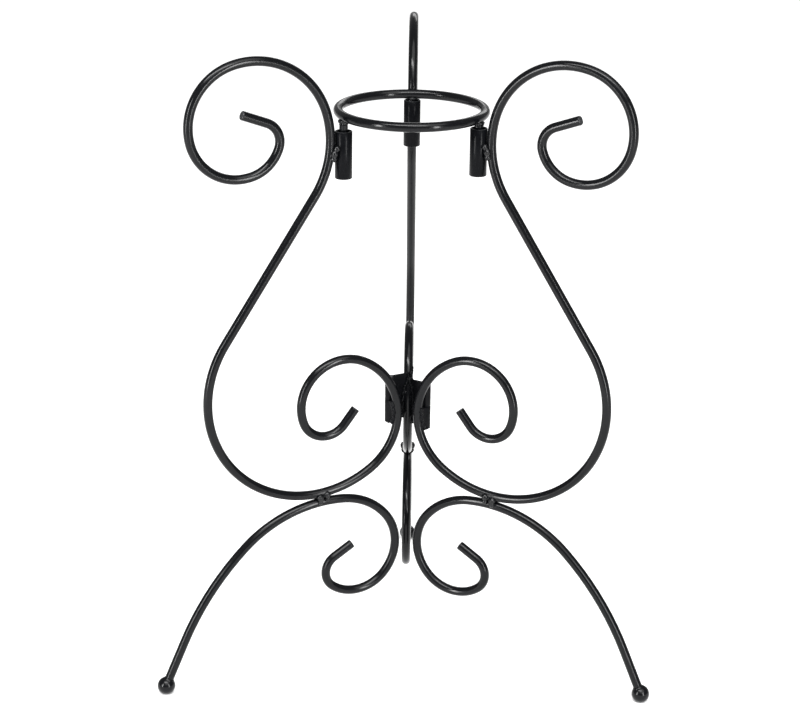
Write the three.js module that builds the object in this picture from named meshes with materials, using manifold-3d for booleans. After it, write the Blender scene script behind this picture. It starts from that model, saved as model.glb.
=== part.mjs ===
// Folding scroll tripod display stand, in millimetres, +Z up.
//
// Three identical legs stand round a common upright axis. Each leg is two round bars bent in one
// plane: an upper scroll rod and a lower leg rod, welded where they touch, with a ball foot.
// The back leg points to +Y. The left and right legs hang on it by two butt hinges, and fold
// round beside it. A loose ring drops its three pins into the sockets welded inside the necks,
// which locks the tripod open.
//
// A leg is drawn in its own plane as radius from the stand's axis (x) against height (z).

import * as THREE from 'three';
import { mergeVertices } from 'three/addons/utils/BufferGeometryUtils.js';
import Module from 'manifold-3d';

const wasm = await Module();
wasm.setup();

// ---- driving dimensions ----
const ROD_D = 7; // round bar, used for the legs and the ring
const ROD_R = ROD_D / 2;
const GAP = 0.3; // clearance between pieces that touch
const ROD_SIDES = 10;
const CHORD_ERROR = 0.25; // how far a bent bar's flats stay from its true arc
const LEG_SPREAD = 115; // azimuth of the left and right legs, from the back leg

// Bend schedules: a start point, a heading in degrees, then [radius, sweep] for each bend,
// counter-clockwise positive, and [0, length] for a straight.
const SCROLL_ROD = {
  start: [131.5, 444],
  heading: -159,
  bends: [
    [0, 20.5], // tip of the outer volute
    [15, 86.5],
    [29, 57.5],
    [37.5, 91.5],
    [44.5, 88.5],
    [58.5, 90.5], // crown of the outer volute
    [72.5, 48.5], // neck, where the socket is welded
    [0, 126], // slope down to the belly
    [83.5, -158], // belly
    [51, -121], // past the hinge
    [35, -135.5], // inner volute
    [19, -121],
    [0, 15],
  ],
};
const LEG_ROD = {
  start: [46, 97.8],
  heading: -30.5,
  bends: [
    [0, 17], // tip of the lower volute
    [15, -110.5],
    [31.5, -89],
    [38.5, -76.5],
    [51.5, -48], // under the weld to the scroll rod
    [103, -48.5],
    [220, -22.5], // sweep down to the foot
    [0, 35],
  ],
};

const BALL_R = 6.8;
const BALL_FLAT_DEPTH = 0.4; // the worn flat that the ball rests on

const RING_R = 53.7; // centre line of the hoop
const RING_Z = 436.6;
const PIN_R = 3.2;
const PIN_INSERTION = 14; // into a socket at its nominal height
const PIN_TAPER = 3;
const PIN_TIP_R = 2.2;

const SOCKET_OD = 12.7;
const SOCKET_ID = 10;
const SOCKET_BOTTOM = 394.5;
const SOCKET_TOP = 429.5;
const SOCKET_RISE = { back: 2.5, left: -3.5, right: 0 }; // each tube is welded on by eye

// Weld beads: height, and half sizes outwards, across and upwards
const SOCKET_WELD = { z: 409.5, size: [4.6, 4.6, 5.4] };
const ROD_WELD = { x: 71, z: 141, size: [6, 4.2, 4] };
const PIN_WELD = { bottomR: 4.1, topR: 5.6 };

const HINGE_AXIS = [14.4, 0.8]; // right hinge pin, from the stand's axis; the left one mirrors it
const HINGE_Z = { left: 210.5, right: 205.5 };
const HINGE_H = 36;
const KNUCKLE_R = 3.2;
const KNUCKLE_GAP = 0.4;
const HINGE_PIN_R = 1.5;
const HINGE_PIN_HEAD = { r: 2.6, height: 1.3 };
const LEAF_T = 1.5;
const BACK_LEAF_L = 15.8;
const FRONT_LEAF_L = 7;
const HINGE_ROD_R = 8.4; // radius of the scroll rods from the axis at the hinges

// ---- finishes ----
const powderCoat = (hex, roughness) => new THREE.MeshStandardMaterial({ color: hex, roughness, metalness: 0.2 });
const COAT = powderCoat(0x1d1e21, 0.42);
const WELD_COAT = powderCoat(0x222326, 0.5);
const HINGE_COAT = powderCoat(0x19191b, 0.55);
const PIN_STEEL = new THREE.MeshStandardMaterial({ color: 0x2b2c2f, roughness: 0.4, metalness: 0.6 });

// ---- a bar's centre line ----
class BendPath extends THREE.Curve {
  // The stations follow the bends, so tight bends get short steps and straights get one.
  constructor({ start, heading, bends }, trim = 0) {
    super();
    this.stations = [];
    let [x, z] = start;
    let h = THREE.MathUtils.degToRad(heading);
    this.addStation(x, z, h);
    bends.forEach(([radius, amount], index) => {
      if (radius === 0) {
        const length = index === bends.length - 1 ? amount + trim : amount;
        x += length * Math.cos(h);
        z += length * Math.sin(h);
        this.addStation(x, z, h);
        return;
      }
      const sweep = THREE.MathUtils.degToRad(amount);
      const side = Math.sign(sweep);
      const centre = [x - side * radius * Math.sin(h), z + side * radius * Math.cos(h)];
      const steps = Math.ceil(Math.abs(sweep) / (2 * Math.acos(1 - CHORD_ERROR / radius)));
      for (let i = 1; i <= steps; i += 1) {
        const a = h + (sweep * i) / steps;
        x = centre[0] + side * radius * Math.sin(a);
        z = centre[1] - side * radius * Math.cos(a);
        this.addStation(x, z, a);
      }
      h += sweep;
    });
  }

  addStation(x, z, heading) {
    this.stations.push({
      point: new THREE.Vector3(x, 0, z),
      tangent: new THREE.Vector3(Math.cos(heading), 0, Math.sin(heading)),
    });
  }

  get steps() {
    return this.stations.length - 1;
  }

  getPointAt(u, target = new THREE.Vector3()) {
    return target.copy(this.stations[Math.round(u * this.steps)].point);
  }

  getTangentAt(u, target = new THREE.Vector3()) {
    return target.copy(this.stations[Math.round(u * this.steps)].tangent);
  }
}

function circle(radius, sides) {
  const points = [];
  for (let i = 0; i < sides; i += 1) {
    const a = (2 * Math.PI * (i + 0.5)) / sides;
    points.push(new THREE.Vector2(radius * Math.cos(a), radius * Math.sin(a)));
  }
  return new THREE.Shape(points);
}

function bar(schedule, radius = ROD_R, trim = 0) {
  const path = new BendPath(schedule, trim);
  return new THREE.ExtrudeGeometry(circle(radius, ROD_SIDES), { extrudePath: path, steps: path.steps });
}

// ---- solids for the booleans ----
function solid(geometry) {
  const bare = geometry.clone();
  bare.deleteAttribute('normal');
  bare.deleteAttribute('uv');
  const merged = mergeVertices(bare, 1e-4);
  return new wasm.Manifold(new wasm.Mesh({
    numProp: 3,
    vertProperties: new Float32Array(merged.attributes.position.array),
    triVerts: new Uint32Array(merged.index.array),
  }));
}

function geometryOf(manifold) {
  const mesh = manifold.getMesh();
  const geometry = new THREE.BufferGeometry();
  geometry.setAttribute('position', new THREE.BufferAttribute(new Float32Array(mesh.vertProperties), 3));
  geometry.setIndex(new THREE.BufferAttribute(new Uint32Array(mesh.triVerts), 1));
  geometry.computeVertexNormals();
  return geometry;
}

function cutBy(geometry, ...cutters) {
  return geometryOf(cutters.reduce((body, cutter) => body.subtract(solid(cutter)), solid(geometry)));
}

// An upright cylinder, or a cone where the radii differ.
function upright(x, y, bottom, top, radius, sides, topRadius = radius) {
  const geometry = new THREE.CylinderGeometry(topRadius, radius, top - bottom, sides);
  return geometry.rotateX(Math.PI / 2).translate(x, y, (bottom + top) / 2);
}

function ellipsoid(x, y, z, rx, ry, rz) {
  return new THREE.SphereGeometry(1, 12, 8).scale(rx, ry, rz).translate(x, y, z);
}

// ---- one leg, drawn in the plane y = 0 with +X pointing outwards ----
const scrollRod = bar(SCROLL_ROD);
const legRod = bar(LEG_ROD);
const scrollRodGrown = bar(SCROLL_ROD, ROD_R + GAP);
const legRodGrown = bar(LEG_ROD, ROD_R + GAP, GAP);
const legEnd = new BendPath(LEG_ROD).stations.at(-1);
const ballZ = BALL_R - BALL_FLAT_DEPTH;
// The ball's centre lies on the leg rod's line.
const ballX = legEnd.point.x - ((legEnd.point.z - ballZ) * legEnd.tangent.x) / legEnd.tangent.z;

function footBall() {
  const flatAngle = Math.acos(ballZ / BALL_R);
  const profile = [new THREE.Vector2(0, -ballZ)];
  const rows = 9;
  for (let i = 0; i < rows; i += 1) {
    const a = flatAngle + ((Math.PI - flatAngle) * i) / rows;
    profile.push(new THREE.Vector2(BALL_R * Math.sin(a), -BALL_R * Math.cos(a)));
  }
  profile.push(new THREE.Vector2(0, BALL_R));
  const ball = new THREE.LatheGeometry(profile, 18).rotateX(Math.PI / 2).translate(ballX, 0, ballZ);
  return cutBy(ball, legRodGrown);
}

function socketTube(rise) {
  const profile = [
    [SOCKET_ID / 2, SOCKET_BOTTOM],
    [SOCKET_OD / 2, SOCKET_BOTTOM],
    [SOCKET_OD / 2, SOCKET_TOP],
    [SOCKET_ID / 2, SOCKET_TOP],
    [SOCKET_ID / 2, SOCKET_BOTTOM],
  ].map(([x, z]) => new THREE.Vector2(x, z));
  return new THREE.LatheGeometry(profile, 20).rotateX(Math.PI / 2).translate(RING_R, 0, rise);
}

function socketWeld() {
  const x = RING_R + SOCKET_OD / 2 + 2 * GAP;
  const bead = ellipsoid(x, 0, SOCKET_WELD.z, ...SOCKET_WELD.size);
  const tube = upright(RING_R, 0, SOCKET_BOTTOM, SOCKET_TOP, SOCKET_OD / 2 + GAP, 20);
  return cutBy(bead, tube, scrollRodGrown);
}

function rodWeld() {
  const bead = ellipsoid(ROD_WELD.x, 0, ROD_WELD.z, ...ROD_WELD.size);
  return cutBy(bead, scrollRodGrown, legRodGrown);
}

const LEG_PIECES = {
  scroll_rod: [scrollRod, COAT],
  leg_rod: [legRod, COAT],
  foot_ball: [footBall(), COAT],
  socket_weld: [socketWeld(), WELD_COAT],
  rod_weld: [rodWeld(), WELD_COAT],
};

// Turns a shape drawn in the leg's plane to the leg's azimuth, clockwise from +Y seen from above.
const AZIMUTH = { back: 0, left: -LEG_SPREAD, right: LEG_SPREAD };
const legTurn = (leg) => THREE.MathUtils.degToRad(90 - AZIMUTH[leg]);

function named(name, geometry, material) {
  const mesh = new THREE.Mesh(geometry, material);
  mesh.name = name;
  return mesh;
}

function leg(name) {
  const group = new THREE.Group();
  for (const [piece, [geometry, material]] of Object.entries(LEG_PIECES)) {
    group.add(named(`${name}_${piece}`, geometry, material));
  }
  group.add(named(`${name}_socket_tube`, socketTube(SOCKET_RISE[name]), COAT));
  group.rotation.z = legTurn(name);
  return group;
}

// ---- hinges, drawn for the right side; side is 1 for the right hinge and -1 for the left ----
function leafPlate(from, towards, outward, start, end, bottom, top) {
  // A flat plate tangent to the knuckle, from start to end along the line between two points.
  const along = new THREE.Vector2(towards[0] - from[0], towards[1] - from[1]).normalize();
  const offset = KNUCKLE_R - LEAF_T / 2;
  const plate = new THREE.BoxGeometry(end - start, LEAF_T, top - bottom);
  plate.translate((start + end) / 2, outward * offset, (bottom + top) / 2);
  plate.rotateZ(Math.atan2(along.y, along.x));
  return plate.translate(from[0], from[1], 0);
}

function rodAt(legName, grown) {
  return grown.clone().rotateZ(legTurn(legName));
}

function hinge(side) {
  const name = side > 0 ? 'right' : 'left';
  const middle = HINGE_Z[name];
  const bottom = middle - HINGE_H / 2;
  const top = middle + HINGE_H / 2;
  const axis = [side * HINGE_AXIS[0], HINGE_AXIS[1]];
  const backRod = [0, HINGE_ROD_R];
  const spread = THREE.MathUtils.degToRad(side * LEG_SPREAD);
  const frontRod = [HINGE_ROD_R * Math.sin(spread), HINGE_ROD_R * Math.cos(spread)];
  const notch = KNUCKLE_R + GAP;
  const bore = upright(...axis, bottom - GAP, top + GAP, HINGE_PIN_R + GAP, 12);

  const backKnuckle = upright(...axis, middle + KNUCKLE_GAP / 2, top, KNUCKLE_R, 16);
  const backArm = leafPlate(axis, backRod, -side, 0, notch + 1, middle + KNUCKLE_GAP / 2, top);
  const backPlate = leafPlate(axis, backRod, -side, notch, BACK_LEAF_L, bottom, top);
  const backLeaf = solid(backKnuckle).add(solid(backArm)).add(solid(backPlate))
    .subtract(solid(bore)).subtract(solid(rodAt('back', scrollRodGrown)));

  const frontKnuckle = upright(...axis, bottom, middle - KNUCKLE_GAP / 2, KNUCKLE_R, 16);
  const frontPlate = leafPlate(axis, frontRod, side, 0, FRONT_LEAF_L, bottom, middle - KNUCKLE_GAP / 2);
  const frontLeaf = solid(frontKnuckle).add(solid(frontPlate))
    .subtract(solid(bore)).subtract(solid(rodAt(name, scrollRodGrown)));

  const shank = upright(...axis, bottom, top + 2 * GAP, HINGE_PIN_R, 12);
  const head = upright(...axis, top + GAP, top + GAP + HINGE_PIN_HEAD.height, HINGE_PIN_HEAD.r, 12);
  const pin = solid(shank).add(solid(head));

  return [
    named(`${name}_hinge_back_leaf`, geometryOf(backLeaf), HINGE_COAT),
    named(`${name}_hinge_front_leaf`, geometryOf(frontLeaf), HINGE_COAT),
    named(`${name}_hinge_pin`, geometryOf(pin), PIN_STEEL),
  ];
}

// ---- the loose ring ----
function ring() {
  const group = new THREE.Group();
  const hoop = (radius) => new THREE.TorusGeometry(RING_R, radius, ROD_SIDES, 56).translate(0, 0, RING_Z);
  group.add(named('ring_hoop', hoop(ROD_R), COAT));
  const pinTop = RING_Z - ROD_R - GAP;
  const pinBottom = SOCKET_TOP - PIN_INSERTION;
  for (const legName of Object.keys(AZIMUTH)) {
    const profile = [
      [0, pinBottom],
      [PIN_TIP_R, pinBottom],
      [PIN_R, pinBottom + PIN_TAPER],
      [PIN_R, pinTop],
      [0, pinTop],
    ].map(([x, z]) => new THREE.Vector2(x, z));
    const pin = new THREE.LatheGeometry(profile, 12).rotateX(Math.PI / 2).translate(RING_R, 0, 0);
    const pinGrown = upright(RING_R, 0, pinBottom, pinTop + GAP, PIN_R + GAP, 12);
    const turn = legTurn(legName);
    const skirt = upright(RING_R, 0, SOCKET_TOP + 1, RING_Z - GAP, PIN_WELD.bottomR, 16, PIN_WELD.topR);
    const weld = cutBy(skirt.rotateZ(turn), pinGrown.rotateZ(turn), hoop(ROD_R + GAP));
    group.add(named(`ring_pin_${legName}`, pin.rotateZ(turn), COAT));
    group.add(named(`ring_pin_weld_${legName}`, weld, WELD_COAT));
  }
  return group;
}

// ---- the stand, with its origin on the floor under the middle of its box ----
const stand = new THREE.Group();
for (const name of Object.keys(AZIMUTH)) stand.add(leg(name));
for (const side of [-1, 1]) stand.add(...hinge(side));
stand.add(ring());
const frontFootY = ballX * Math.cos(THREE.MathUtils.degToRad(LEG_SPREAD));
stand.position.y = -(ballX + frontFootY) / 2;

export default stand;
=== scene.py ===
"""Folding scroll tripod display stand: every visible surface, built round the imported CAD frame.

Run as a script, or read as an add-on: the sizes and finishes are scene properties, each group of
like pieces has one operator, and the panel in the sidebar lists them. All lengths are in metres.
"""

import math

import bmesh
import bpy
from bpy.props import FloatProperty, FloatVectorProperty, IntProperty, PointerProperty
from mathutils import Matrix, Vector, noise


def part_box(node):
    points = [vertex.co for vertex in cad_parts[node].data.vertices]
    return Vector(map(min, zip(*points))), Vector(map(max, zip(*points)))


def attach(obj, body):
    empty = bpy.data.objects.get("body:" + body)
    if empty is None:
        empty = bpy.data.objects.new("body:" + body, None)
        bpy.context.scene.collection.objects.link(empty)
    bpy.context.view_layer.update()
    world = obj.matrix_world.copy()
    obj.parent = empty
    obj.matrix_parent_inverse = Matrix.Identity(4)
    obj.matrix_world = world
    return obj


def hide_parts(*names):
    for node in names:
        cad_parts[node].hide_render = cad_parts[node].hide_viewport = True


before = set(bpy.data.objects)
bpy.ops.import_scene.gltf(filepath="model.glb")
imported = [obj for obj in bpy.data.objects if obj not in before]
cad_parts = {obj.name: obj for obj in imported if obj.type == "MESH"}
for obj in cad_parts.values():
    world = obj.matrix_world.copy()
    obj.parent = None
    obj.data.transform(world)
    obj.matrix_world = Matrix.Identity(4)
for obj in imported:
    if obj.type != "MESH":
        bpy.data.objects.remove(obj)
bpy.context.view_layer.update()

bl_info = {
    "name": "Scroll tripod display stand",
    "version": (1, 0, 0),
    "blender": (4, 5, 0),
    "location": "View3D > Sidebar > Display stand",
    "description": "Builds a folding wrought-iron display stand, piece by piece",
    "category": "Object",
}

MM = 0.001
LEGS = ("back", "left", "right")
SIDES = ("left", "right")

# ---- shapes that the frame's boxes don't give ----
FOOT_FLAT = 0.4 * MM  # depth of the worn flat under each ball foot
NECK_WELD_RISE = {"back": 0, "left": 1 * MM, "right": 4 * MM}  # the welds were laid by eye
HINGE_ROD_R = 8.4 * MM  # the scroll rods' distance from the axis where the hinges are welded
LEAF_LENGTHS = {"back": 15.8 * MM, "front": 7.0 * MM}  # from the hinge pin to the leaf's edge
CURL_SWEEP = 296  # degrees that a leaf is rolled round its pin
CURL_STEPS = 26
KNUCKLE_GAP = 0.4 * MM  # between the back leaf's knuckle and the front leaf's
KNUCKLE_CLEARANCE = 0.3 * MM  # beside the front leaf's knuckle
RING_PIN_R = 3.2 * MM
RING_PIN_TIP_R = 2.2 * MM  # the pins taper to this, so that they find their sockets
RIVET_R = 1.5 * MM
RIVET_HEAD_R = 2.6 * MM
RIVET_HEAD_HEIGHT = 1.3 * MM

# ---- places, read from the frame ----


def middle(node):
    """The centre of a CAD node's box."""
    low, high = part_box(node)
    return (low + high) / 2


AXIS = middle("ring_hoop")  # the ring is centred on the stand's upright axis


def azimuth(leg):
    """A leg's direction from the stand's axis, clockwise from +Y seen from above."""
    out = middle(f"{leg}_foot_ball") - AXIS
    return math.atan2(out.x, out.y)


def leg_place(leg):
    """The place of leg space (x outwards, y across, z up) in the row frame."""
    turn = Matrix.Rotation(math.pi / 2 - azimuth(leg), 4, "Z")
    return Matrix.Translation((AXIS.x, AXIS.y, 0)) @ turn


LEG_PLACES = {leg: leg_place(leg) for leg in LEGS}


def in_leg(leg, node):
    """The centre of a CAD node in its leg's own space."""
    return LEG_PLACES[leg].inverted() @ middle(node)


def seat_in_leg(leg, node):
    """The same centre, moved into the leg's own plane."""
    seat = in_leg(leg, node)
    seat.y = 0
    return seat


# ---- bend schedules, in millimetres and degrees, as the bars are bent in the CAD model ----
# Each starts at a point (outwards, up) with a heading; (0, length) is a straight, and
# (radius, sweep) is a bend, counter-clockwise positive.
SCROLL_ROD = {
    "start": (131.5, 444),
    "heading": -159,
    "bends": (
        (0, 20.5), (15, 86.5), (29, 57.5), (37.5, 91.5), (44.5, 88.5), (58.5, 90.5),
        (72.5, 48.5), (0, 126), (83.5, -158), (51, -121), (35, -135.5), (19, -121), (0, 15),
    ),
}
LEG_ROD = {
    "start": (46, 97.8),
    "heading": -30.5,
    "bends": (
        (0, 17), (15, -110.5), (31.5, -89), (38.5, -76.5), (51.5, -48), (103, -48.5),
        (220, -22.5), (0, 35),
    ),
}
BEND_STEP = 2.5  # degrees of bend between two points of a bar's line
STRAIGHT_STEP = 4.0  # millimetres
END_STEPS = (0.15, 0.35, 0.6, 1.0)  # millimetres from a sawn end, where its chamfer needs points


def bend_line(schedule):
    """A bar's centre line as points (outwards, 0, up) and the heading at its far end."""
    x, z = schedule["start"]
    heading = math.radians(schedule["heading"])
    line = [Vector((x, 0, z))]
    for radius, amount in schedule["bends"]:
        if radius == 0:
            direction = Vector((math.cos(heading), 0, math.sin(heading)))
            steps = math.ceil(amount / STRAIGHT_STEP)
            corner = line[-1].copy()
            line += [corner + direction * amount * i / steps for i in range(1, steps + 1)]
            continue
        sweep = math.radians(amount)
        side = math.copysign(1, sweep)
        toward = Vector((-math.sin(heading), 0, math.cos(heading))) * side
        centre = line[-1] + toward * radius
        steps = math.ceil(abs(amount) / BEND_STEP)
        for i in range(1, steps + 1):
            a = heading + sweep * i / steps
            line.append(centre - Vector((-math.sin(a), 0, math.cos(a))) * side * radius)
        heading += sweep
    ends = [line[0] + (line[1] - line[0]).normalized() * d for d in END_STEPS]
    tails = [line[-1] + (line[-2] - line[-1]).normalized() * d for d in reversed(END_STEPS)]
    line = [line[0], *ends, *line[1:-1], *tails, line[-1]]
    return [p * MM for p in line], heading


SCROLL_LINE, _ = bend_line(SCROLL_ROD)
LEG_LINE, FOOT_HEADING = bend_line(LEG_ROD)


# ---- properties ----


class StandSizes(bpy.types.PropertyGroup):
    """Sizes that a maker would change."""

    bar_diameter: FloatProperty(
        name="Bar diameter", description="Round bar of the legs and the ring",
        default=7 * MM, min=3 * MM, max=12 * MM, unit="LENGTH", precision=5)
    bar_sides: IntProperty(
        name="Bar sides", description="Facets round a bar", default=28, min=8, max=64)
    end_scale: FloatProperty(
        name="Sawn end scale", description="Width of a bar's sawn face against the bar",
        default=0.86, min=0.5, max=1, subtype="FACTOR")
    end_chamfer: FloatProperty(
        name="End chamfer", description="Length of the rounded edge at a sawn end",
        default=0.6 * MM, min=0.1 * MM, max=2 * MM, unit="LENGTH", precision=5)
    ball_diameter: FloatProperty(
        name="Ball diameter", description="Ball feet", default=13.6 * MM,
        min=8 * MM, max=30 * MM, unit="LENGTH", precision=5)
    socket_outer: FloatProperty(
        name="Socket outside", description="Outer diameter of the ring's socket tubes",
        default=12.7 * MM, min=8 * MM, max=20 * MM, unit="LENGTH", precision=5)
    socket_bore: FloatProperty(
        name="Socket bore", description="Bore of the ring's socket tubes",
        default=10 * MM, min=5 * MM, max=18 * MM, unit="LENGTH", precision=5)
    knuckle_diameter: FloatProperty(
        name="Knuckle diameter", description="Outside of the hinges' rolled knuckles",
        default=6.4 * MM, min=4 * MM, max=12 * MM, unit="LENGTH", precision=5)
    leaf_thickness: FloatProperty(
        name="Leaf thickness", description="Sheet that the hinge leaves are pressed from",
        default=1.5 * MM, min=0.5 * MM, max=3 * MM, unit="LENGTH", precision=5)
    weld_grain: FloatProperty(
        name="Weld grain", description="Smallest ripple kept in a weld bead",
        default=0.34 * MM, min=0.1 * MM, max=1 * MM, unit="LENGTH", precision=5)


def linear(hex_colour):
    """An sRGB hex colour as linear red, green, blue."""
    parts = [int(hex_colour[i:i + 2], 16) / 255 for i in (1, 3, 5)]
    return tuple(c / 12.92 if c <= 0.04045 else ((c + 0.055) / 1.055) ** 2.4 for c in parts)


class StandFinishes(bpy.types.PropertyGroup):
    """Colours of the coated steel and of the studio floor."""

    coat: FloatVectorProperty(
        name="Powder coat", description="Satin black on the bars", subtype="COLOR",
        default=linear("#050506"), min=0, max=1)
    coat_bloom: FloatVectorProperty(
        name="Coat bloom", description="The slightly paler patches in the coat", subtype="COLOR",
        default=linear("#0a0b0d"), min=0, max=1)
    worn: FloatVectorProperty(
        name="Worn edge", description="Coat rubbed thin over steel at sawn ends and feet",
        subtype="COLOR", default=linear("#3d3e40"), min=0, max=1)
    floor: FloatVectorProperty(
        name="Studio floor", description="Pale paper under the stand", subtype="COLOR",
        default=linear("#f4f4f4"), min=0, max=1)


# ---- small mesh and node helpers ----


def add_node(tree, kind, settings=None, **links):
    """Adds a node, sets its properties, and fills or links its inputs: Some_Name is the input
    named Some Name, and _2 is the input numbered 2."""
    node = tree.nodes.new(kind)
    for key, value in (settings or {}).items():
        setattr(node, key, value)
    for key, value in links.items():
        place = int(key[1:]) if key[1:].isdigit() else key.replace("_", " ")
        socket = node.inputs[place]
        if isinstance(value, bpy.types.NodeSocket):
            tree.links.new(value, socket)
        else:
            socket.default_value = value
    return node


def new_object(name, mesh, material=None):
    obj = bpy.data.objects.new(name, mesh)
    bpy.context.scene.collection.objects.link(obj)
    if material is not None:
        mesh.materials.clear()
        mesh.materials.append(material)
    return obj


def plain_mesh(obj, name):
    """Makes the evaluated shape the object's own mesh, and takes its modifiers off."""
    graph = bpy.context.evaluated_depsgraph_get()
    mesh = bpy.data.meshes.new_from_object(obj.evaluated_get(graph))
    mesh.name = name
    obj.modifiers.clear()
    old = obj.data
    obj.data = mesh
    bpy.data.meshes.remove(old)


def finish_piece(obj, body, slot, *nodes):
    """Rides a finished piece on its body, in place of the CAD nodes that it stands for, if any."""
    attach(obj, body)
    if nodes:
        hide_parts(*nodes)


def mesh_from(name, verts, faces, smooth=True):
    mesh = bpy.data.meshes.new(name)
    mesh.from_pydata([tuple(v) for v in verts], [], faces)
    mesh.validate()
    if smooth:
        mesh.shade_smooth()
    else:
        mesh.shade_flat()
    return mesh


def turned(name, profile, place, sides=40, crease=35):
    """A lathe-turned shape: (radius, height) points from axis to axis, or round a closed loop."""
    verts = []
    rings = []
    for radius, height in profile:
        count = sides if radius > 0 else 1
        rings.append([len(verts) + i % count for i in range(sides)])
        for i in range(count):
            a = 2 * math.pi * i / sides
            verts.append(Vector((radius * math.cos(a), radius * math.sin(a), height)))
    closed = profile[0][0] > 0
    faces = []
    for lower, upper in zip(rings, rings[1:] + (rings[:1] if closed else [])):
        for i in range(sides):
            j = (i + 1) % sides
            quad = (lower[i], lower[j], upper[j], upper[i])
            faces.append(tuple(dict.fromkeys(quad)))  # a triangle, where the quad touches the axis
    mesh = mesh_from(name, [place @ v for v in verts], faces)
    outward(mesh)
    mesh.set_sharp_from_angle(angle=math.radians(crease))
    return mesh


def outward(mesh):
    """Points every face outwards."""
    work = bmesh.new()
    work.from_mesh(mesh)
    bmesh.ops.remove_doubles(work, verts=work.verts, dist=1e-7)
    bmesh.ops.recalc_face_normals(work, faces=work.faces)
    work.to_mesh(mesh)
    work.free()


def joined(name, meshes):
    """Several meshes as one."""
    work = bmesh.new()
    for mesh in meshes:
        work.from_mesh(mesh)
        bpy.data.meshes.remove(mesh)
    whole = bpy.data.meshes.new(name)
    work.to_mesh(whole)
    work.free()
    return whole


def mark_worn(mesh, amount):
    """Stores how far the coat is rubbed off each point, 0 to 1, by a rule on the point's height."""
    worn = mesh.attributes.new("worn", "FLOAT", "POINT")
    for i, vertex in enumerate(mesh.vertices):
        worn.data[i].value = amount(vertex.co.z)


# ---- the swept bar, as a Geometry Nodes tree ----


def bar_tree():
    """A round bar swept along a line of edges, with its sawn ends rounded over."""
    tree = bpy.data.node_groups.new("round_bar_along_line", "GeometryNodeTree")
    sockets = tree.interface
    sockets.new_socket("Geometry", in_out="INPUT", socket_type="NodeSocketGeometry")
    for name, kind in (("Bar Radius", "Float"), ("Sides", "Int"), ("End Scale", "Float"),
                       ("End Chamfer", "Float"), ("Material", "Material")):
        sockets.new_socket(name, in_out="INPUT", socket_type=f"NodeSocket{kind}")
    sockets.new_socket("Geometry", in_out="OUTPUT", socket_type="NodeSocketGeometry")
    given = tree.nodes.new("NodeGroupInput")
    curve = add_node(tree, "GeometryNodeMeshToCurve", Mesh=given.outputs["Geometry"])
    along = tree.nodes.new("GeometryNodeSplineParameter")
    whole = tree.nodes.new("GeometryNodeSplineLength")
    left = add_node(tree, "ShaderNodeMath", {"operation": "SUBTRACT"},
                    _0=whole.outputs["Length"], _1=along.outputs["Length"])
    near = add_node(tree, "ShaderNodeMath", {"operation": "MINIMUM"},
                    _0=left.outputs[0], _1=along.outputs["Length"])
    scale = add_node(tree, "ShaderNodeMapRange", {"interpolation_type": "SMOOTHERSTEP"},
                     Value=near.outputs[0], From_Min=0.0, From_Max=given.outputs["End Chamfer"],
                     To_Min=given.outputs["End Scale"], To_Max=1.0)
    worn_reach = add_node(tree, "ShaderNodeMath", {"operation": "MULTIPLY"},
                          _0=given.outputs["End Chamfer"], _1=1.6)
    worn = add_node(tree, "ShaderNodeMapRange", {"interpolation_type": "SMOOTHSTEP"},
                    Value=near.outputs[0], From_Min=0.0, From_Max=worn_reach.outputs[0],
                    To_Min=1.0, To_Max=0.0)
    marked = add_node(tree, "GeometryNodeStoreNamedAttribute",
                      {"data_type": "FLOAT", "domain": "POINT"}, Geometry=curve.outputs[0],
                      Name="worn", Value=worn.outputs[0])
    circle = add_node(tree, "GeometryNodeCurvePrimitiveCircle", {"mode": "RADIUS"},
                      Resolution=given.outputs["Sides"], Radius=given.outputs["Bar Radius"])
    swept = add_node(tree, "GeometryNodeCurveToMesh", Curve=marked.outputs[0],
                     Profile_Curve=circle.outputs[0], Scale=scale.outputs[0], Fill_Caps=True)
    corners = tree.nodes.new("GeometryNodeInputMeshFaceNeighbors")
    is_side = add_node(tree, "FunctionNodeCompare", {"data_type": "INT", "operation": "LESS_THAN"},
                       _2=corners.outputs["Vertex Count"], _3=5)
    shaded = add_node(tree, "GeometryNodeSetShadeSmooth", {"domain": "FACE"},
                      Geometry=swept.outputs[0], Shade_Smooth=is_side.outputs[0])
    real = add_node(tree, "GeometryNodeRealizeInstances", Geometry=shaded.outputs[0])
    coated = add_node(tree, "GeometryNodeSetMaterial", Geometry=real.outputs[0],
                      Material=given.outputs["Material"])
    add_node(tree, "NodeGroupOutput", _0=coated.outputs[0])
    return tree


def swept_bar(name, points, material, closed=False):
    """A bar along points in the row frame; a closed line has no ends to round over."""
    sizes = bpy.context.scene.stand_sizes
    count = len(points)
    edges = [(i, i + 1) for i in range(count - 1)] + ([(count - 1, 0)] if closed else [])
    mesh = bpy.data.meshes.new(name)
    mesh.from_pydata([tuple(p) for p in points], edges, [])
    obj = new_object(name, mesh)
    tree = bpy.data.node_groups.get("round_bar_along_line") or bar_tree()
    values = {
        "Bar Radius": sizes.bar_diameter / 2,
        "Sides": sizes.bar_sides,
        "End Scale": 1.0 if closed else sizes.end_scale,
        "End Chamfer": sizes.end_chamfer,
        "Material": material,
    }
    modifier = obj.modifiers.new("bar", "NODES")
    modifier.node_group = tree
    for item in tree.interface.items_tree:
        if item.in_out == "INPUT" and item.name in values:
            modifier[item.identifier] = values[item.name]
    plain_mesh(obj, name)
    outward(obj.data)
    return obj


# ---- weld metal ----


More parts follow.
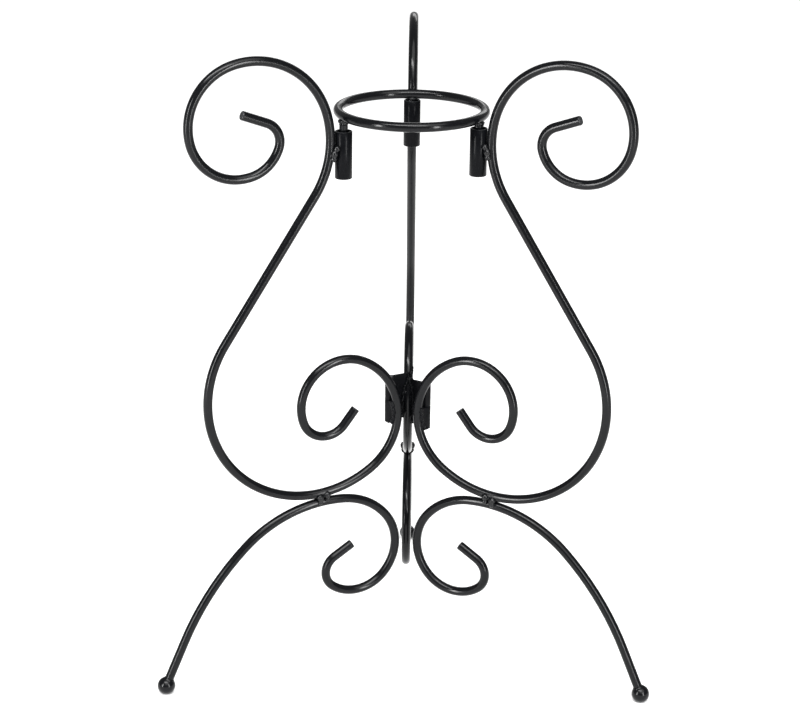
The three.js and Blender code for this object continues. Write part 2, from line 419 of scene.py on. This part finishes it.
def weld_piece(name, beads, place, coat):
    """Overlapping round beads of weld metal, run together into one closed and coated skin."""
    ball = bmesh.new()
    bmesh.ops.create_icosphere(ball, subdivisions=2, radius=1)
    corners = [v.co.copy() for v in ball.verts]
    sides = [[v.index for v in f.verts] for f in ball.faces]
    ball.free()
    verts = []
    faces = []
    for centre, reach in beads:
        reach = Vector((reach, reach, reach)) if isinstance(reach, float) else Vector(reach)
        faces += [[i + len(verts) for i in side] for side in sides]
        verts += [place @ (centre + reach * corner) for corner in corners]
    obj = new_object(name, mesh_from(name, verts, faces))
    remesh = obj.modifiers.new("run_together", "REMESH")
    remesh.mode = "VOXEL"
    remesh.voxel_size = bpy.context.scene.stand_sizes.weld_grain
    remesh.use_smooth_shade = True
    settle = obj.modifiers.new("settle", "SMOOTH")
    settle.factor = 0.6
    settle.iterations = 2
    plain_mesh(obj, name)
    lump_size = 1.8 * MM
    lump_height = 0.18 * MM
    for vertex in obj.data.vertices:
        vertex.co += vertex.normal * (noise.noise(vertex.co / lump_size) * lump_height)
    outward(obj.data)
    obj.data.materials.append(coat)
    return obj


def bead_row(start, end, count, reach, sway, across):
    """A row of beads from start to end, weaving a little from side to side."""
    row = []
    for i in range(count):
        t = i / (count - 1)
        weave = across * sway * math.sin(2.1 * i + 0.6)
        size = reach * (1 + 0.12 * math.sin(1.7 * i + 0.3))
        row.append((start.lerp(end, t) + weave, size))
    return row


# ---- materials ----
# Object coordinates are metres, so a noise scale is one over the feature's size in metres.


def coated_steel(name, *, gloss, roughness, spread, peel_size, peel_depth, patch_size, wear,
                 colours=None):
    """Shared body of the coated steel finishes: patchy black, orange peel, and rubbed edges."""
    ready = bpy.data.materials.get(name)
    if ready is not None:
        return ready
    finishes = bpy.context.scene.stand_finishes
    material = bpy.data.materials.new(name)
    material.use_nodes = True
    tree = material.node_tree
    shader = tree.nodes["Principled BSDF"]
    place = tree.nodes.new("ShaderNodeTexCoord").outputs["Object"]
    patches = add_node(tree, "ShaderNodeTexNoise", Vector=place, Scale=1 / patch_size,
                       Detail=4.0, Roughness=0.6)
    peel = add_node(tree, "ShaderNodeTexNoise", Vector=place, Scale=1 / peel_size,
                    Detail=3.0, Roughness=0.55)
    dark, pale = colours or (finishes.coat, finishes.coat_bloom)
    # inputs 6 and 7 of a colour mix are its two colours
    base = add_node(tree, "ShaderNodeMix", {"data_type": "RGBA"}, _0=patches.outputs["Fac"])
    base.inputs[6].default_value = (*dark, 1)
    base.inputs[7].default_value = (*pale, 1)
    rubbed = add_node(tree, "ShaderNodeAttribute", {"attribute_name": "worn"})
    broken = add_node(tree, "ShaderNodeMapRange", Value=peel.outputs["Fac"], From_Min=0.35,
                      From_Max=0.65, To_Min=0.25, To_Max=1.0)
    chipped = add_node(tree, "ShaderNodeMath", {"operation": "MULTIPLY"},
                       _0=rubbed.outputs["Fac"], _1=broken.outputs[0])
    amount = add_node(tree, "ShaderNodeMath", {"operation": "MULTIPLY"},
                      _0=chipped.outputs[0], _1=wear)
    colour = add_node(tree, "ShaderNodeMix", {"data_type": "RGBA"}, _0=amount.outputs[0],
                      _6=base.outputs[2])
    colour.inputs[7].default_value = (*finishes.worn, 1)
    tree.links.new(colour.outputs[2], shader.inputs["Base Color"])
    rough = add_node(tree, "ShaderNodeMapRange", Value=patches.outputs["Fac"], From_Min=0.3,
                     From_Max=0.7, To_Min=roughness - spread, To_Max=roughness + spread)
    tree.links.new(rough.outputs[0], shader.inputs["Roughness"])
    bump = add_node(tree, "ShaderNodeBump", Strength=1.0, Distance=peel_depth,
                    Height=peel.outputs["Fac"])
    tree.links.new(bump.outputs[0], shader.inputs["Normal"])
    shader.inputs["IOR"].default_value = 1.5
    shader.inputs["Specular IOR Level"].default_value = gloss
    shader.inputs["Metallic"].default_value = 0.0
    return material


def powder_coat():
    """Satin black polyester powder coat, sprayed and baked on bar: a soft grey streak of light
    along each bar, with the faint mottle of orange peel. Real peel is about 1 mm across; it is
    drawn at 1.6 mm so that it shows."""
    return coated_steel(
        "satin_black_powder_coat", gloss=0.15, roughness=0.17, spread=0.02, peel_size=1.6 * MM,
        peel_depth=0.012 * MM, patch_size=22 * MM, wear=0.5)


def tube_coat():
    """The same coat on the socket tubes, where it went on thick and dry: a flatter black, with
    only a faint band of light down each tube."""
    return coated_steel(
        "flat_black_coat_over_tube", gloss=0.045, roughness=0.22, spread=0.03,
        peel_size=1.1 * MM, peel_depth=0.02 * MM, patch_size=7 * MM, wear=0.5)


def weld_coat():
    """The same coat over rippled weld metal, where it pools: small sharp glints on each lump."""
    return coated_steel(
        "black_coat_over_weld", gloss=0.24, roughness=0.2, spread=0.05, peel_size=1.4 * MM,
        peel_depth=0.02 * MM, patch_size=5 * MM, wear=0.0)


def hinge_coat():
    """Black coat over pressed sheet: a thinner, flatter black with fine press marks."""
    return coated_steel(
        "black_coat_over_pressed_sheet", gloss=0.06, roughness=0.3, spread=0.05,
        peel_size=0.8 * MM, peel_depth=0.03 * MM, patch_size=9 * MM, wear=0.6)


def pin_coat():
    """Turned steel rivet under worn black coat: a little glossier, with rubbed heads."""
    finishes = bpy.context.scene.stand_finishes
    return coated_steel(
        "worn_black_steel_rivet", gloss=0.25, roughness=0.28, spread=0.05, peel_size=0.7 * MM,
        peel_depth=0.02 * MM, patch_size=4 * MM, wear=0.5,
        colours=(finishes.coat_bloom, finishes.worn))


def paper_floor():
    """Pale seamless paper: flat, with the faintest fibre mottle."""
    material = bpy.data.materials.new("pale_seamless_paper")
    material.use_nodes = True
    tree = material.node_tree
    shader = tree.nodes["Principled BSDF"]
    place = tree.nodes.new("ShaderNodeTexCoord").outputs["Object"]
    fibre = add_node(tree, "ShaderNodeTexNoise", Vector=place, Scale=1 / (4 * MM), Detail=2.0)
    tone = add_node(tree, "ShaderNodeMix", {"data_type": "RGBA"}, _0=fibre.outputs["Fac"])
    pale = bpy.context.scene.stand_finishes.floor
    tone.inputs[6].default_value = (*pale, 1)
    tone.inputs[7].default_value = (*[c * 0.985 for c in pale], 1)
    tree.links.new(tone.outputs[2], shader.inputs["Base Color"])
    shader.inputs["Roughness"].default_value = 0.9
    shader.inputs["Specular IOR Level"].default_value = 0.1
    return material


# ---- operators ----


class PieceOperator:
    """What the operators share."""

    bl_options = {"REGISTER", "UNDO"}


class STAND_OT_scroll_rods(PieceOperator, bpy.types.Operator):
    """Bend the three upper scroll rods"""

    bl_idname = "display_stand.scroll_rods"
    bl_label = "Scroll rods"

    def execute(self, context):
        for leg in LEGS:
            points = [LEG_PLACES[leg] @ p for p in SCROLL_LINE]
            bar = swept_bar(f"{leg}_upper_scroll", points, powder_coat())
            finish_piece(bar, f"{leg}_leg", "powder_coat", f"{leg}_scroll_rod")
        return {"FINISHED"}


class STAND_OT_leg_rods(PieceOperator, bpy.types.Operator):
    """Bend the three lower leg rods"""

    bl_idname = "display_stand.leg_rods"
    bl_label = "Leg rods"

    def execute(self, context):
        for leg in LEGS:
            points = [LEG_PLACES[leg] @ p for p in LEG_LINE]
            bar = swept_bar(f"{leg}_lower_leg", points, powder_coat())
            finish_piece(bar, f"{leg}_leg", "powder_coat", f"{leg}_leg_rod")
        return {"FINISHED"}


class STAND_OT_foot_balls(PieceOperator, bpy.types.Operator):
    """Turn the three ball feet, each with the weld fillet round its rod"""

    bl_idname = "display_stand.foot_balls"
    bl_label = "Ball feet"

    def execute(self, context):
        sizes = context.scene.stand_sizes
        radius = sizes.ball_diameter / 2
        up_rod = Vector((-math.cos(FOOT_HEADING), 0, -math.sin(FOOT_HEADING)))
        rod_end = LEG_LINE[-1]
        height = radius - FOOT_FLAT
        centre = Vector((rod_end.x + (rod_end.z - height) * up_rod.x / -up_rod.z, 0, height))
        flat = math.acos(height / radius)
        rows = 28
        profile = [(0, -height)]
        for i in range(rows):
            a = flat + (math.pi - flat) * i / rows
            profile.append((radius * math.sin(a), -radius * math.cos(a)))
        profile.append((0, radius))
        scuff_height = 1.4 * MM  # rubbed up to here, where a foot is pushed about on a floor
        for leg in LEGS:
            place = LEG_PLACES[leg] @ Matrix.Translation(centre)
            ball = turned("ball", profile, place, sides=48, crease=20)
            fillet = self.fillet(place, up_rod, radius, sizes.bar_diameter / 2)
            foot = joined("ball_foot", [ball, fillet])
            mark_worn(foot, lambda z: max(0.0, 1 - z / scuff_height))
            piece = new_object(f"{leg}_ball_foot", foot, powder_coat())
            finish_piece(piece, f"{leg}_leg", "powder_coat", f"{leg}_foot_ball")
        return {"FINISHED"}

    @staticmethod
    def fillet(centre_place, up_rod, ball, bar):
        """The ring of weld metal where the rod enters the ball."""
        seat = math.sqrt(ball ** 2 - (bar + 1.1 * MM) ** 2)
        profile = [
            (bar - 0.4 * MM, seat - 1.2 * MM), (bar + 1.1 * MM, seat - 0.4 * MM),
            (bar + 0.85 * MM, seat + 0.35 * MM), (bar + 0.4 * MM, seat + 0.95 * MM),
            (bar - 0.05 * MM, seat + 1.5 * MM), (bar - 0.4 * MM, seat + 1.4 * MM),
        ]
        tilt = up_rod.to_track_quat("Z", "Y").to_matrix().to_4x4()
        return turned("fillet", profile, centre_place @ tilt, sides=40, crease=80)


class STAND_OT_sockets(PieceOperator, bpy.types.Operator):
    """Cut the three socket tubes inside the necks"""

    bl_idname = "display_stand.sockets"
    bl_label = "Socket tubes"

    def execute(self, context):
        sizes = context.scene.stand_sizes
        outer = sizes.socket_outer / 2
        bore = sizes.socket_bore / 2
        edge = 0.35 * MM  # broken off each sawn rim
        rim_reach = 0.2 * MM
        rim_wear = 0.9
        for leg in LEGS:
            low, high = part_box(f"{leg}_socket_tube")
            centre = in_leg(leg, f"{leg}_socket_tube")
            profile = [
                (bore, low.z + edge), (bore + edge, low.z), (outer - edge, low.z),
                (outer, low.z + edge), (outer, high.z - edge), (outer - edge, high.z),
                (bore + edge, high.z), (bore, high.z - edge),
            ]
            place = LEG_PLACES[leg] @ Matrix.Translation((centre.x, 0, 0))
            tube = turned(f"{leg}_socket", profile, place, sides=48, crease=60)
            mark_worn(tube, lambda z: rim_wear if min(z - low.z, high.z - z) < rim_reach else 0.0)
            piece = new_object(f"{leg}_socket", tube, tube_coat())
            finish_piece(piece, f"{leg}_leg", "powder_coat", f"{leg}_socket_tube")
        return {"FINISHED"}


class STAND_OT_leg_welds(PieceOperator, bpy.types.Operator):
    """Lay the welds that join each leg's rods and its socket"""

    bl_idname = "display_stand.leg_welds"
    bl_label = "Leg welds"

    def execute(self, context):
        for leg in LEGS:
            self.rod_weld(leg)
            self.socket_weld(leg)
        return {"FINISHED"}

    @staticmethod
    def rod_weld(leg):
        """Two rows of fat beads on each side of the crossing, over a core that fills it."""
        seat = seat_in_leg(leg, f"{leg}_rod_weld")
        up = Vector((0, 0, 1))
        beads = []
        for side in (-1, 1):
            for row in (-1, 1):
                start = seat + Vector((-3.2, side * 3.1, 1.9 * row + 0.7)) * MM
                end = seat + Vector((2.6, side * 3.1, 1.9 * row - 0.9)) * MM
                beads += bead_row(start, end, 2, (2.5 + 0.35 * row) * MM, 0.6 * MM, up)
        beads.append((seat, (4.6 * MM, 2.4 * MM, 2.6 * MM)))
        weld = weld_piece(f"{leg}_scroll_weld", beads, LEG_PLACES[leg], weld_coat())
        finish_piece(weld, f"{leg}_leg", "weld_coat", f"{leg}_rod_weld")

    @staticmethod
    def socket_weld(leg):
        """A row of beads down each side of the gap between the neck and its socket."""
        seat = seat_in_leg(leg, f"{leg}_socket_weld")
        seat.z += NECK_WELD_RISE[leg]
        outwards = Vector((1, 0, 0))
        beads = []
        for side in (-1, 1):
            start = seat + Vector((1.3, side * 3.7, -3.6)) * MM
            end = seat + Vector((0.3, side * 3.7, 3.6)) * MM
            beads += bead_row(start, end, 3, 2.6 * MM, 1.0 * MM, outwards)
        beads.append((seat, (1.8 * MM, 3.2 * MM, 4.6 * MM)))
        weld = weld_piece(f"{leg}_neck_weld", beads, LEG_PLACES[leg], weld_coat())
        finish_piece(weld, f"{leg}_leg", "weld_coat", f"{leg}_socket_weld")


class STAND_OT_hinges(PieceOperator, bpy.types.Operator):
    """Press and roll the hinge leaves, rivet their pins, and weld them on"""

    bl_idname = "display_stand.hinges"
    bl_label = "Hinges"

    def execute(self, context):
        for side in SIDES:
            self.leaf(context, side, "back")
            self.leaf(context, side, "front")
            self.pin(side)
        return {"FINISHED"}

    @staticmethod
    def leaf_frame(side, which):
        """The place of leaf space: x from the pin to the rod, y out of the hinge's closed angle."""
        pin = middle(f"{side}_hinge_pin")
        leg = "back" if which == "back" else side
        rod = LEG_PLACES[leg] @ Vector((HINGE_ROD_R, 0, 0))
        along = Vector((rod.x - pin.x, rod.y - pin.y, 0)).normalized()
        sign = 1 if (side == "right") == (which == "front") else -1
        out = Vector((-along.y, along.x, 0)) * sign
        axes = Matrix((along, out, Vector((0, 0, 1)))).transposed().to_4x4()
        return Matrix.Translation((pin.x, pin.y, 0)) @ axes

    def leaf(self, context, side, which):
        """A flat leaf rolled round the pin. The front leaf has the lower knuckle and the back leaf
        the upper one; below it the back leaf is only a flat tab."""
        sizes = context.scene.stand_sizes
        radius = sizes.knuckle_diameter / 2
        inner = radius - sizes.leaf_thickness
        low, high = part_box(f"{side}_hinge_{which}_leaf")
        front_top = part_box(f"{side}_hinge_front_leaf")[1].z
        length = LEAF_LENGTHS[which]
        turns = [math.radians(90 + CURL_SWEEP * i / CURL_STEPS) for i in range(CURL_STEPS + 1)]
        curl = [(length, radius), (0.0, radius)]
        curl += [(radius * math.cos(a), radius * math.sin(a)) for a in turns[1:]]
        curl += [(inner * math.cos(a), inner * math.sin(a)) for a in reversed(turns)]
        curl.append((length, inner))
        name = f"{side}_{which}_leaf"
        if which == "front":
            obj = new_object(name, self.prism("leaf", curl, low.z, front_top))
        else:
            split = front_top + KNUCKLE_GAP
            notch = radius + KNUCKLE_CLEARANCE
            overlap = 0.5 * MM
            obj = new_object(name, self.prism("leaf", curl, split, high.z))
            tab = [(length, radius), (notch, radius), (notch, inner), (length, inner)]
            tab = new_object("tab", self.prism("tab", tab, low.z, split + overlap))
            union = obj.modifiers.new("whole", "BOOLEAN")
            union.operation = "UNION"
            union.solver = "EXACT"
            union.object = tab
        soften = obj.modifiers.new("pressed_edges", "BEVEL")
        soften.width = 0.22 * MM
        soften.segments = 2
        soften.limit_method = "ANGLE"
        soften.angle_limit = math.radians(50)
        plain_mesh(obj, name)
        if which == "back":
            bpy.data.objects.remove(tab)
        obj.data.transform(self.leaf_frame(side, which))
        outward(obj.data)
        obj.data.shade_smooth()
        obj.data.set_sharp_from_angle(angle=math.radians(40))
        obj.data.materials.append(hinge_coat())
        body = "back_leg" if which == "back" else f"{side}_leg"
        finish_piece(obj, body, "hinge_coat", f"{side}_hinge_{which}_leaf")
        self.leaf_weld(side, which, body, low.z, high.z, radius)

    def leaf_weld(self, side, which, body, bottom, top, face):
        """Fillets of weld metal down both faces of a leaf, where it meets its rod."""
        leaf = self.leaf_frame(side, which)
        leg = "back" if which == "back" else side
        pitch = 1.9 * MM
        count = round((top - bottom) / pitch)
        beads = []
        for y, size in ((face + 0.5 * MM, 1.5 * MM), (face - 2.1 * MM, 1.3 * MM)):
            for i in range(count):
                z = bottom + (top - bottom) * (i + 0.6) / count
                spot = self.beside_rod(leaf, leg, y, z)
                spot.x += 0.4 * MM * math.sin(2.3 * i + y / MM)
                beads.append((spot, size * (1 + 0.16 * math.sin(1.9 * i))))
        if which == "back":  # a run-out of weld up the rod, above the leaf
            for i in range(6):
                spot = self.beside_rod(leaf, leg, face - 1.2 * MM, top + (1.1 * i - 1.0) * MM)
                beads.append((spot, (1.8 - 0.22 * i) * MM))
        else:  # a drip under the knuckle
            for i in range(3):
                spot = Vector(((1.6 - 1.3 * i) * MM, face - 0.6 * MM, bottom + 0.5 * MM))
                beads.append((spot, (1.3 - 0.25 * i) * MM))
        weld = weld_piece(f"{side}_{which}_leaf_weld", beads, leaf, hinge_coat())
        finish_piece(weld, body, "hinge_coat")

    @staticmethod
    def beside_rod(leaf, leg, y, z):
        """The spot in leaf space, at a height, where a bead lies against the leg's scroll rod."""
        reach = bpy.context.scene.stand_sizes.bar_diameter / 2 + 0.4 * MM
        belly_bottom = 0.17  # the rod's line comes near the axis again below this
        hinged = [p for p in SCROLL_LINE if p.x < 2.5 * HINGE_ROD_R and p.z > belly_bottom]
        near = min(hinged, key=lambda p: abs(p.z - z))
        rod = leaf.inverted() @ (LEG_PLACES[leg] @ Vector((near.x, 0, z)))
        aside = min(abs(y - rod.y), reach)
        return Vector((rod.x - math.sqrt(reach ** 2 - aside ** 2), y, z))

    @staticmethod
    def prism(name, outline, bottom, top):
        """An outline in leaf space, from one height to another."""
        count = len(outline)
        verts = [Vector((x, y, z)) for z in (bottom, top) for x, y in outline]
        faces = [tuple(range(count))[::-1], tuple(range(count, 2 * count))]
        for i in range(count):
            j = (i + 1) % count
            faces.append((i, j, j + count, i + count))
        mesh = mesh_from(name, verts, faces, smooth=False)
        outward(mesh)
        return mesh

    @staticmethod
    def pin(side):
        """A rivet through the knuckles, with a low domed head on top."""
        low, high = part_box(f"{side}_hinge_pin")
        centre = middle(f"{side}_hinge_pin")
        seat = high.z - RIVET_HEAD_HEIGHT
        edge = 0.3 * MM
        profile = [
            (0, low.z), (RIVET_R - edge, low.z), (RIVET_R, low.z + edge), (RIVET_R, seat),
            (RIVET_HEAD_R, seat), (RIVET_HEAD_R, seat + 0.45 * MM),
            (RIVET_HEAD_R * 0.86, seat + 0.85 * MM), (RIVET_HEAD_R * 0.55, seat + 1.15 * MM),
            (0, high.z),
        ]
        place = Matrix.Translation((centre.x, centre.y, 0))
        mesh = turned(f"{side}_rivet", profile, place, sides=32, crease=50)
        mark_worn(mesh, lambda z: 1.0 if z > seat + 0.4 * MM else 0.0)
        piece = new_object(f"{side}_hinge_rivet", mesh, pin_coat())
        finish_piece(piece, "back_leg", "hinge_pin_steel", f"{side}_hinge_pin")


class STAND_OT_ring(PieceOperator, bpy.types.Operator):
    """Bend the loose ring and weld on its three pins"""

    bl_idname = "display_stand.ring"
    bl_label = "Ring"

    def execute(self, context):
        sizes = context.scene.stand_sizes
        bar = sizes.bar_diameter / 2
        low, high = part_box("ring_hoop")
        radius = (high.x - low.x) / 2 - bar
        count = 144
        turns = [2 * math.pi * i / count for i in range(count)]
        points = [AXIS + Vector((radius * math.cos(a), radius * math.sin(a), 0)) for a in turns]
        hoop = swept_bar("loose_ring", points, powder_coat(), closed=True)
        finish_piece(hoop, "ring", "powder_coat", "ring_hoop")
        for leg in LEGS:
            self.pin(leg)
            self.pin_weld(leg, bar)
        return {"FINISHED"}

    @staticmethod
    def pin(leg):
        """A straight pin from the hoop's middle down into its socket, with a tapered tip."""
        low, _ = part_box(f"ring_pin_{leg}")
        centre = in_leg(leg, f"ring_pin_{leg}")
        tip = RING_PIN_TIP_R
        profile = [
            (0, low.z), (tip * 0.7, low.z + 0.1 * MM), (tip, low.z + 0.5 * MM),
            (tip + 0.6 * MM, low.z + 1.9 * MM), (RING_PIN_R, low.z + 3.2 * MM),
            (RING_PIN_R, AXIS.z), (0, AXIS.z),
        ]
        place = LEG_PLACES[leg] @ Matrix.Translation((centre.x, 0, 0))
        mesh = turned(f"{leg}_ring_pin", profile, place, sides=32, crease=60)
        piece = new_object(f"{leg}_drop_pin", mesh, powder_coat())
        finish_piece(piece, "ring", "powder_coat", f"ring_pin_{leg}")

    @staticmethod
    def pin_weld(leg, bar):
        """A collar of weld metal, which narrows from the hoop's underside down to the pin."""
        seat = in_leg(leg, f"ring_pin_{leg}")
        beads = []
        for i, reach in enumerate((4.4 * MM, 4.1 * MM, 3.8 * MM, 3.5 * MM)):
            height = AXIS.z - bar + (0.4 - i) * MM
            aside = 0.25 * MM * math.sin(2.3 * i)
            beads.append((Vector((seat.x + aside, -aside, height)), (reach, reach, 1.3 * MM)))
        weld = weld_piece(f"{leg}_pin_weld", beads, LEG_PLACES[leg], weld_coat())
        finish_piece(weld, "ring", "weld_coat", f"ring_pin_weld_{leg}")


class STAND_OT_stage(PieceOperator, bpy.types.Operator):
    """Set the pale floor, the soft studio lights and the camera"""

    bl_idname = "display_stand.stage"
    bl_label = "Studio stage"

    def execute(self, context):
        scene = context.scene
        self.floor()
        self.air(scene)
        # name, place in metres, width and height, watts
        softboxes = (
            ("left_strip_box", (-1.19, -1.15, 0.52), (0.2, 1.0), 28),
            ("right_strip_box", (0.95, -1.34, 0.52), (0.2, 1.0), 23),
            ("overhead_softbox", (-0.2, -0.95, 1.75), (1.5, 0.24), 34),
            ("back_softbox", (0.3, 1.9, 1.2), (1.2, 0.5), 5),
        )
        for name, place, (width, height), power in softboxes:
            self.lamp(name, "AREA", place,
                      {"shape": "RECTANGLE", "size": width, "size_y": height, "energy": power})
        # a broad soft sun lights the far floor as evenly as the near floor
        self.lamp("ceiling_wash", "SUN", (0.5, -1.6, 3.0),
                  {"angle": math.radians(60), "energy": 3.0})
        self.camera(scene)
        return {"FINISHED"}

    @staticmethod
    def floor():
        """Paper that reaches past the edges of every view."""
        half = 30.0
        corners = ((-half, -half), (half, -half), (half, half), (-half, half))
        mesh = mesh_from("studio_floor", [(x, y, 0) for x, y in corners], [(0, 1, 2, 3)])
        new_object("studio_floor", mesh, paper_floor())

    @staticmethod
    def air(scene):
        """A little even light from all round, and white that is left white."""
        world = bpy.data.worlds.new("studio_air")
        world.use_nodes = True
        back = world.node_tree.nodes["Background"]
        back.inputs["Color"].default_value = (1, 1, 1, 1)
        back.inputs["Strength"].default_value = 0.3
        scene.world = world
        scene.view_settings.view_transform = "Standard"

    @staticmethod
    def lamp(name, kind, place, settings):
        """A light that faces the middle of the stand, and that the camera doesn't see."""
        light = bpy.data.lights.new(name, kind)
        for key, value in settings.items():
            setattr(light, key, value)
        obj = bpy.data.objects.new(name, light)
        bpy.context.scene.collection.objects.link(obj)
        toward = Vector((0, AXIS.y, 0.25)) - Vector(place)
        obj.location = place
        obj.rotation_euler = toward.to_track_quat("-Z", "Y").to_euler()
        obj.visible_camera = False

    @staticmethod
    def camera(scene):
        """A long lens in front of the stand, looking a little down on it."""
        lens = bpy.data.cameras.new("camera")
        lens.lens = 91.1
        lens.sensor_width = 36.0
        lens.sensor_fit = "HORIZONTAL"
        lens.clip_end = 100.0
        lens.dof.use_dof = False
        eye = bpy.data.objects.new("camera", lens)
        scene.collection.objects.link(eye)
        eye.location = Vector((AXIS.x, AXIS.y, 0)) + Vector((9.3, -1446.8, 772.1)) * MM
        aside = Matrix.Rotation(math.radians(0.62), 4, "Z")
        down = Matrix.Rotation(math.radians(90 - 19.97), 4, "X")
        lean = Matrix.Rotation(math.radians(0.69), 4, "Z")
        eye.rotation_euler = (aside @ down @ lean).to_euler()
        scene.camera = eye


class VIEW3D_PT_display_stand(bpy.types.Panel):
    """Lists the stand's pieces, sizes and finishes"""

    bl_label = "Display stand"
    bl_idname = "VIEW3D_PT_display_stand"
    bl_space_type = "VIEW_3D"
    bl_region_type = "UI"
    bl_category = "Display stand"

    def draw(self, context):
        layout = self.layout
        for group in (context.scene.stand_sizes, context.scene.stand_finishes):
            box = layout.box()
            for key in group.bl_rna.properties.keys():
                if key not in ("name", "rna_type"):
                    box.prop(group, key)
        for operator in OPERATORS:
            layout.operator(operator.bl_idname)


OPERATORS = (
    STAND_OT_scroll_rods,
    STAND_OT_leg_rods,
    STAND_OT_foot_balls,
    STAND_OT_sockets,
    STAND_OT_leg_welds,
    STAND_OT_hinges,
    STAND_OT_ring,
    STAND_OT_stage,
)
CLASSES = (StandSizes, StandFinishes, *OPERATORS, VIEW3D_PT_display_stand)


def register():
    for cls in CLASSES:
        bpy.utils.register_class(cls)
    bpy.types.Scene.stand_sizes = PointerProperty(type=StandSizes)
    bpy.types.Scene.stand_finishes = PointerProperty(type=StandFinishes)


def unregister():
    del bpy.types.Scene.stand_finishes
    del bpy.types.Scene.stand_sizes
    for cls in reversed(CLASSES):
        bpy.utils.unregister_class(cls)


def main():
    register()
    for operator in OPERATORS:
        group, name = operator.bl_idname.split(".")
        getattr(getattr(bpy.ops, group), name)()


if __name__ == "__main__":
    main()
